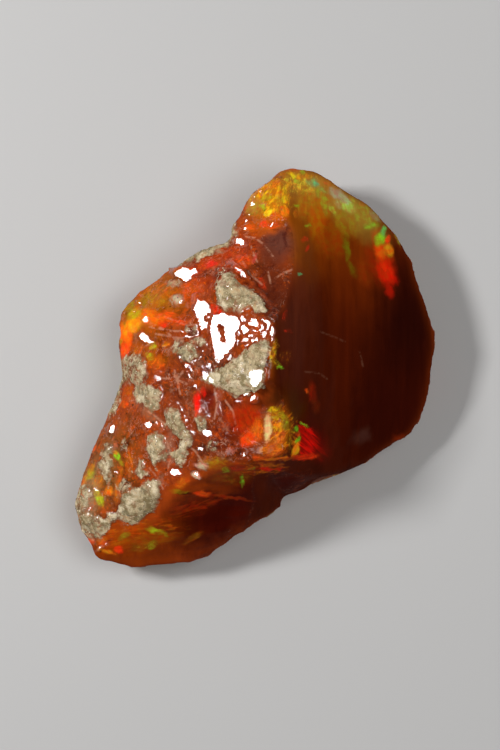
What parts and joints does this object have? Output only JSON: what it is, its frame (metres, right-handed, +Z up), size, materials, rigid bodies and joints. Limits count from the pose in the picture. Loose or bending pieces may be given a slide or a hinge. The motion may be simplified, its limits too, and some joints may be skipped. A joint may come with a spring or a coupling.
{
  "type": "rough fire opal",
  "caption": "Broken lump of rough orange precious opal with crusts of host rock on its skin, lying on a broken flat of its back.",
  "frame": {"origin": "under the middle of the stone's outline, in the plane of the broken flat that it rests on", "axes": "+Z up from the resting flat to the crest, +Y from the tail to the thin lobe, +X from the crusted skin side to the smooth broken face"},
  "size_m": [0.0507, 0.0561, 0.027],
  "materials": {
    "fire_opal": "wet glassy orange-brown opal with play of colour and matt khaki crusts"
  },
  "bodies": {
    "root": {"opal": "fire_opal"}
  },
  "joints": []
}
